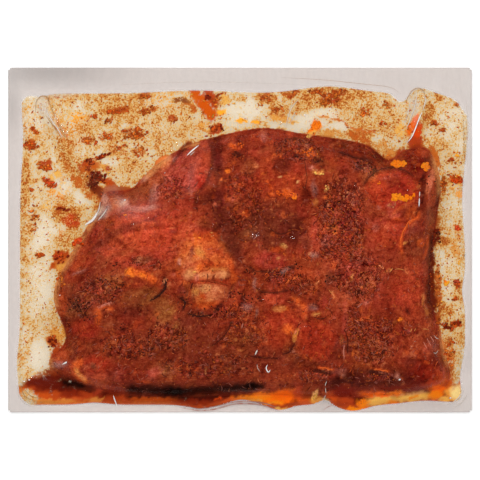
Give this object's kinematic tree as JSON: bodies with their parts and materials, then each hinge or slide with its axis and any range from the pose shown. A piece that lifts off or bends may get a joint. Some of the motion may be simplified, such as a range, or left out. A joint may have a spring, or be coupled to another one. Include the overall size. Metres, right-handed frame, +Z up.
{
  "type": "vacuum-sealed pouch of pork carnitas",
  "caption": "Clear flat vacuum-sealed pouch holding a slab of pork carnitas in red chile sauce, with a welded rim all round, lying flat.",
  "frame": {"origin": "middle of the flat underside", "axes": "+X along the pouch's long side, +Y across it towards the wide seal, +Z up out of the shown side"},
  "size_m": [0.23, 0.171, 0.024],
  "materials": {
    "pouch": "clear glossy film drawn tight over red-brown meat, chile sauce and orange oil, with a greyish welded rim"
  },
  "bodies": {
    "root": {"pouch": "pouch"}
  },
  "joints": []
}
